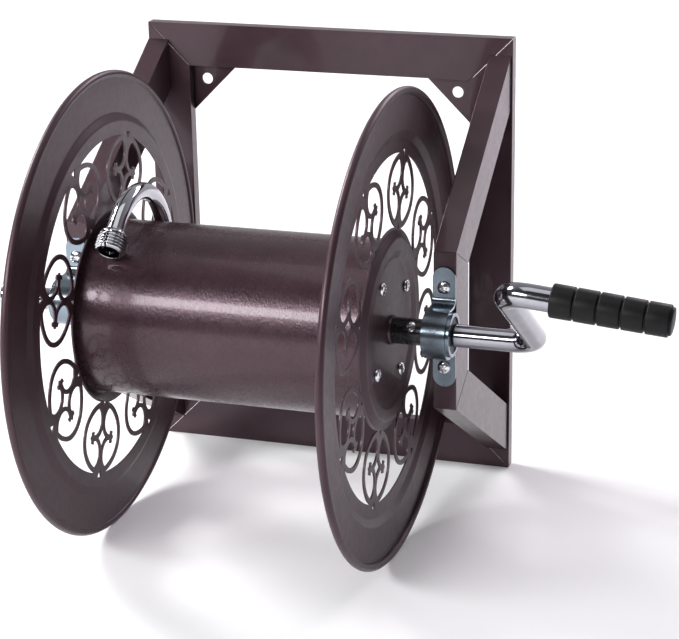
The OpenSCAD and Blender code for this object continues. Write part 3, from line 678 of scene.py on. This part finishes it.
for side, name, post_x in ((1, "right", RIGHT_POST_X), (-1, "left", LEFT_POST_X)):
    place = on_face(side, 0)
    heads = []
    for k in range(4):
        t = HUB_BOLT_TURN + k * math.pi / 2
        seat = place(HUB_BOLT_R * math.cos(t), HUB_BOLT_R * math.sin(t), 1.5)
        heads.append(screw(seat, (side, 0, 0), 0.5 + 0.9 * k, 6, 4.0, 3, 12.5))
    new_object(f"{name}_hub_screws", *merge(*heads), SCREWS, "reel", "screw_chrome", (f"{name}_hub_bolts",))
    seat_y = AXLE.y + SLEEVE_R - STRAP_T
    pair = [
        screw((post_x, seat_y, AXLE.z + dz), (0, -1, 0), turn, 6, 4.0, 3, 14.5)
        for dz, turn in ((STRAP_SCREW_Z, 0.25), (-STRAP_SCREW_Z, 0.9))
    ]
    stands_for = (f"{name}_strap_screws",)
    new_object(f"{name}_strap_fixings", *merge(*pair), SCREWS, "frame", "screw_chrome", stands_for)

pin_turn, pin_seat = math.radians(141), 12
pin_dir = Vector((0, math.cos(pin_turn), math.sin(pin_turn)))
pin_foot = AXLE + Vector((150, 0, 0))
pin = screw(pin_foot + pin_dir * pin_seat, pin_dir, 0.3, 4.9, 3.0, 2.5, 29, 0.62)
nut_line = [(0, 0), (4.3, 0), (4.62, 0.35), (4.62, 3.65), (4.3, 4), (0, 4)]
nut = revolve(nut_line, along(pin_foot - pin_dir * pin_seat, -pin_dir), 6)
new_object("axle_cross_screw", *merge(pin, nut), SCREWS, "reel", "screw_chrome", ("axle_screw",))


# ---------------------------------------------------------------- bearing straps
def strap_line():
    """Rows of a strap from its upper tip to its lower one: forward, up, outward direction and half width."""
    seat, hump = STRAP_T / 2, SLEEVE_R + STRAP_T / 2
    bend, width, rise = STRAP_BEND, STRAP_HALF_W, hump + STRAP_BEND
    rows = []
    for k in range(17, -1, -1):
        t = math.radians(5 * k)
        rows.append((seat, STRAP_TIP - width * (1 - math.sin(t)), 1, 0, width * math.cos(t)))
    for k in range(17):
        t = math.pi * (1 + k / 32)
        c, s = math.cos(t), math.sin(t)
        rows.append((seat + bend + bend * c, rise + bend * s, -c, -s, width))
    for k in range(20):
        t = math.pi / 2 * (1 - k / 20)
        c, s = math.cos(t), math.sin(t)
        rows.append((SLEEVE_R + hump * c, hump * s, c, s, width))
    front = (SLEEVE_R + hump, 0, 1, 0, width)
    return [*rows, front, *((f, -z, nf, -nz, w) for f, z, nf, nz, w in reversed(rows))]


for side, x in (("right", RIGHT_POST_X), ("left", LEFT_POST_X)):
    verts, rows = [], strap_line()
    for f, z, nf, nz, w in rows:
        for dx, step in ((-w, STRAP_T / 2), (w, STRAP_T / 2), (w, -STRAP_T / 2), (-w, -STRAP_T / 2)):
            verts.append((x + dx, AXLE.y + SLEEVE_R - f - nf * step, AXLE.z + z + nz * step))
    faces = [face for i in range(len(rows) - 1) for face in between_rings(i, i + 1, 4)]
    faces += [(0, 1, 2, 3), tuple(len(verts) - 4 + k for k in (3, 2, 1, 0))]
    names = (f"{side}_bearing_strap",)
    new_object(f"{side}_strap_pressed", verts, faces, ZINC, "frame", "zinc_plate", names, 0.55)


# ---------------------------------------------------------------- crank and grip
handle_end = HANDLE_CORNER + HANDLE_DIR * (GRIP_START + GRIP_LEN + 0.4)
crank_start = Vector((CRANK_START, AXLE.y, AXLE.z))
crank_path = bent_path([crank_start, CRANK_CORNER, HANDLE_CORNER, handle_end], (CRANK_BEND, CRANK_BEND))
ring_in, ring_out, ring_low, ring_high = CRANK_R - 0.1, 11.45, GRIP_START + 1, GRIP_START + 3
ring_line = [(ring_in, ring_low), (ring_out, ring_low), (ring_out, ring_high), (ring_in, ring_high)]
stop_ring = revolve(ring_line, along(HANDLE_CORNER, HANDLE_DIR), 48, closed=True)
crank = merge(tube(crank_path, CRANK_R, CRANK_R - CRANK_WALL), stop_ring)
new_object("crank_bent_tube", *crank, CRANK_CHROME, "reel", "chrome_plate", ("crank_tube",))


def taper(height):
    """Radius of the grip at a height along it."""
    return GRIP_R + (GRIP_END_R - GRIP_R) * height / GRIP_LEN


def grip_profile():
    """Ribs with rounded shoulders and narrow grooves between them, then a rounded end."""
    bore, wide, narrow = CRANK_R + 0.06, GROOVE_HALF_W, GROOVE_HALF_W * 0.6
    line, radii = [(bore, 0), (taper(0), 0)], [1.6]
    for i in range(1, GRIP_RIBS):
        middle = i * GRIP_LEN / GRIP_RIBS
        for shift_by, down, radius in (
            (-wide, 0, 0.9),
            (-narrow, GROOVE_DEPTH, 0.5),
            (narrow, GROOVE_DEPTH, 0.5),
            (wide, 0, 0.9),
        ):
            line.append((taper(middle) - down, middle + shift_by))
            radii.append(radius)
    line += [(taper(GRIP_LEN), GRIP_LEN), (bore, GRIP_LEN)]
    return fillet(line, [*radii, 2.4], 5)


grip_place = along(HANDLE_CORNER + HANDLE_DIR * GRIP_START, HANDLE_DIR)
grip = revolve(grip_profile(), grip_place, 96, closed=True)
new_object("ribbed_grip", *grip, GRIP, "grip", "grip_plastic", ("crank_grip",))
plug_r, plug_depth = CRANK_R - CRANK_WALL, -14
plug_line = [(0, 2.4), (8.4, 2.3), (11.4, 1.6), (11.7, 0), (plug_r, 0), (plug_r, plug_depth), (0, plug_depth)]
plug = revolve(fillet(plug_line, [6, 0.8, 0.2, 0.2, 0.5], 4), along(handle_end, HANDLE_DIR), 64)
new_object("grip_end_plug", *plug, GRIP, "reel", "grip_plastic", ("handle_end_cap",))


# ---------------------------------------------------------------- water path
def hose_thread(place, lead_in, foot_r):
    """Male hose thread with a real helix; its mouth is at height 0 and its body goes down from there."""
    steps, rows = 96, 110

    def crest(height, k):
        """Radius of the thread at a height and a step of the turn, fading out at both of its ends."""
        fade = min(1, max(0, -height / 1.6)) * min(1, max(0, (THREAD_LEN + height) / 1.2))
        phase = (-height / THREAD_PITCH + k / steps) % 1
        wave = min(1, max(0, 1.6 * (1 - abs(2 * phase - 1)) - 0.25))
        return THREAD_R - THREAD_DEPTH * (1 - wave * fade)

    heights = [-THREAD_LEN * (1 - i / rows) for i in range(rows + 1)]
    levels = [([lead_in] * steps, -THREAD_LEN)]
    levels += [([crest(h, k) for k in range(steps)], h) for h in heights]
    levels += [([r] * steps, h) for r, h in (
        (THREAD_R - THREAD_DEPTH - 0.4, 0.35),
        (THREAD_BORE + 0.5, 0.35),
        (THREAD_BORE, 0),
        (THREAD_BORE, -THREAD_BORE_DEPTH),
        (foot_r, -THREAD_BORE_DEPTH),
    )]
    turns = polar_arc(1, 0, 2 * math.pi, steps)[:-1]
    verts = [place(r * x, r * y, h) for radii, h in levels for r, (x, y) in zip(radii, turns)]
    faces = [face for i in range(len(levels) - 1) for face in between_rings(i, i + 1, steps)]
    return verts, faces


arch_steps = 40
arch = [Vector((OUTLET_X, AXLE.y + ARCH_R, 18))]
for k in range(arch_steps + 1):
    t = ARCH_SWEEP * k / arch_steps
    arch.append(Vector((OUTLET_X, AXLE.y + ARCH_R * math.cos(t), ARCH_Z + ARCH_R * math.sin(t))))
out_dir = Vector((0, -math.sin(ARCH_SWEEP), math.cos(ARCH_SWEEP)))
mouth = arch[-1] + out_dir * DROP
foot = []
for k in range(10, 0, -1):
    t = math.pi / 2 * k / 10
    foot.append(arch[0] + Vector((0, FOOT_BEND * (math.cos(t) - 1), -FOOT_BEND * math.sin(t))))
outlet_path = [foot[0] - Vector((0, 12, 0)), *foot, *arch, mouth - out_dir * 14.6]
outlet = tube(outlet_path, OUTLET_R, OUTLET_BORE)
new_object("outlet_bent_pipe", *outlet, CHROME, "reel", "chrome_plate", ("outlet_pipe",))

# Swelling behind the thread, as (radius, height) from its bore round to the thread's foot
mouth_place = along(mouth, out_dir)
socket_r, neck = OUTLET_R + 0.05, -22.2
swelling = [(socket_r, -THREAD_LEN), (socket_r, neck), (8.7, neck), (9.1, -21.8), (9.4, -19.4), (10.2, -18.4)]
swelling += [(11.6, -18.0), (12.5, -17.4), (12.8, -16.6), (12.6, -15.6), (FERRULE_R, -THREAD_LEN)]
ferrule = revolve(swelling, mouth_place, 64, closed=True)
threaded = merge(ferrule, hose_thread(mouth_place, FERRULE_R, socket_r))
new_object("outlet_hose_thread", *threaded, CHROME, "reel", "chrome_plate", ("outlet_thread",))

body_len, seal_r, seat_low, seat_high = 2 * SWIVEL_HALF, CRANK_R + 0.1, 3, 21
body_line = [(0, 0), (SWIVEL_R, 0), (SWIVEL_R, body_len), (seal_r, body_len), (seal_r, seat_high)]
body_line += [(8, seat_high), (8, seat_low), (0, seat_low)]
swivel_place = along((SWIVEL_X - SWIVEL_HALF, AXLE.y, AXLE.z), (1, 0, 0))
swivel_body = revolve(fillet(body_line, [2.5, 1.5, 0.4, 0.3, 0.3, 0.3], 5), swivel_place, 72)
branch_place = along((SWIVEL_BRANCH, AXLE.y, AXLE.z - SWIVEL_DROP), (0, 0, -1), (0, 1, 0))
branch_top = 4 - SWIVEL_DROP
branch_line = [(BRANCH_R, -THREAD_LEN), (FERRULE_R, -THREAD_LEN), (FERRULE_R, -THREAD_LEN - 1.6)]
branch_line += [(BRANCH_R, -THREAD_LEN - 2), (BRANCH_R, branch_top)]
branch_line += [(BRANCH_BORE, branch_top), (BRANCH_BORE, -THREAD_LEN)]
branch = revolve(branch_line, branch_place, 72, closed=True)
elbow = merge(swivel_body, branch, hose_thread(branch_place, FERRULE_R, BRANCH_BORE))
new_object("inlet_swivel_elbow", *elbow, CHROME, "swivel", "chrome_plate", ("inlet_swivel",))


# ---------------------------------------------------------------- floor, light and camera
def area_light(name, at, aim, size, power, colour=(1, 1, 1)):
    """Rectangular light at a place, facing another; places and sizes are in metres, power in watts."""
    data = bpy.data.lights.new(name, "AREA")
    data.shape, data.size, data.size_y = "RECTANGLE", *size
    data.energy, data.color = power, colour
    lamp = bpy.data.objects.new(name, data)
    bpy.context.scene.collection.objects.link(lamp)
    lamp.location = at
    lamp.rotation_euler = (Vector(aim) - Vector(at)).to_track_quat("-Z", "Y").to_euler()


floor_mesh = bpy.data.meshes.new("studio_floor")
far, floor_z = 12.0, FLOOR_Z * MM - 0.0002
corners = ((-far, -far), (far, -far), (far, far), (-far, far))
floor_mesh.from_pydata([(x, y, floor_z) for x, y in corners], [], [(0, 1, 2, 3)])
floor = bpy.data.objects.new("studio_floor", floor_mesh)
bpy.context.scene.collection.objects.link(floor)
floor_paint = Paint("studio_floor")
floor_paint.colour(floor_paint.noise(1.5, 2), [(0.3, (0.86, 0.86, 0.87)), (0.7, (0.88, 0.88, 0.885))])
floor_paint.rough(floor_paint.noise(3, 2), 0.55, 0.65)
floor_paint.set(specular=0.2, glow=0.13)
floor_paint.bsdf.inputs["Emission Color"].default_value = (0.97, 0.97, 1.0, 1)
floor_mesh.materials.append(floor_paint.mat)

# Sky that is brighter behind the object than in front of it
world = bpy.data.worlds.new("studio")
bpy.context.scene.world = world
world.use_nodes = True
sky = world.node_tree
direction = sky.nodes.new("ShaderNodeTexCoord")
split = sky.nodes.new("ShaderNodeSeparateXYZ")
dim = sky.nodes.new("ShaderNodeMapRange")
for key, value in (("From Min", -0.4), ("From Max", 0.9), ("To Min", 0.07), ("To Max", 0.60)):
    dim.inputs[key].default_value = value
sky.links.new(direction.outputs["Generated"], split.inputs[0])
sky.links.new(split.outputs[1], dim.inputs["Value"])
sky.links.new(dim.outputs[0], sky.nodes["Background"].inputs["Strength"])
sky.nodes["Background"].inputs["Color"].default_value = (0.97, 0.96, 1.0, 1)

area_light("key", (-4.2, 0.8, 3.4), (0.0, -0.2, 0), (1.7, 1.7), 290)
area_light("front_box", (-1.0, -2.0, 1.0), (0, -0.23, 0), (1.7, 0.42), 52)
area_light("top_box", (0.1, -0.5, 2.6), (0.0, -0.2, 0), (2.0, 1.6), 11)
area_light("back_floor", (0.9, 2.3, 1.5), (0.7, 1.0, -0.2), (1.8, 0.9), 34, (1.0, 0.87, 0.97))

# Camera, from the angles that it is turned by
yaw, pitch, roll = math.radians(18.48), math.radians(20.14), math.radians(-1.11)
ahead = Vector((-math.sin(yaw) * math.cos(pitch), math.cos(yaw) * math.cos(pitch), -math.sin(pitch)))
right = Vector((math.cos(yaw), math.sin(yaw), 0))
upward = right.cross(ahead)
cam_x = right * math.cos(roll) + upward * math.sin(roll)
cam_y = upward * math.cos(roll) - right * math.sin(roll)
camera_data = bpy.data.cameras.new("camera")
camera_data.sensor_width, camera_data.lens = 36, 114.72
camera_data.shift_x, camera_data.shift_y = 0.0117, 0.0614
camera_data.clip_start, camera_data.clip_end = 0.05, 60
camera = bpy.data.objects.new("camera", camera_data)
bpy.context.scene.collection.objects.link(camera)
cam_turn = Matrix((cam_x, cam_y, -ahead)).transposed().to_4x4()
camera.matrix_world = Matrix.Translation((0.6541, -1.9720, 0.6358)) @ cam_turn
bpy.context.scene.camera = camera
bpy.context.scene.view_settings.view_transform = "Standard"
bpy.context.scene.view_settings.look = "None"
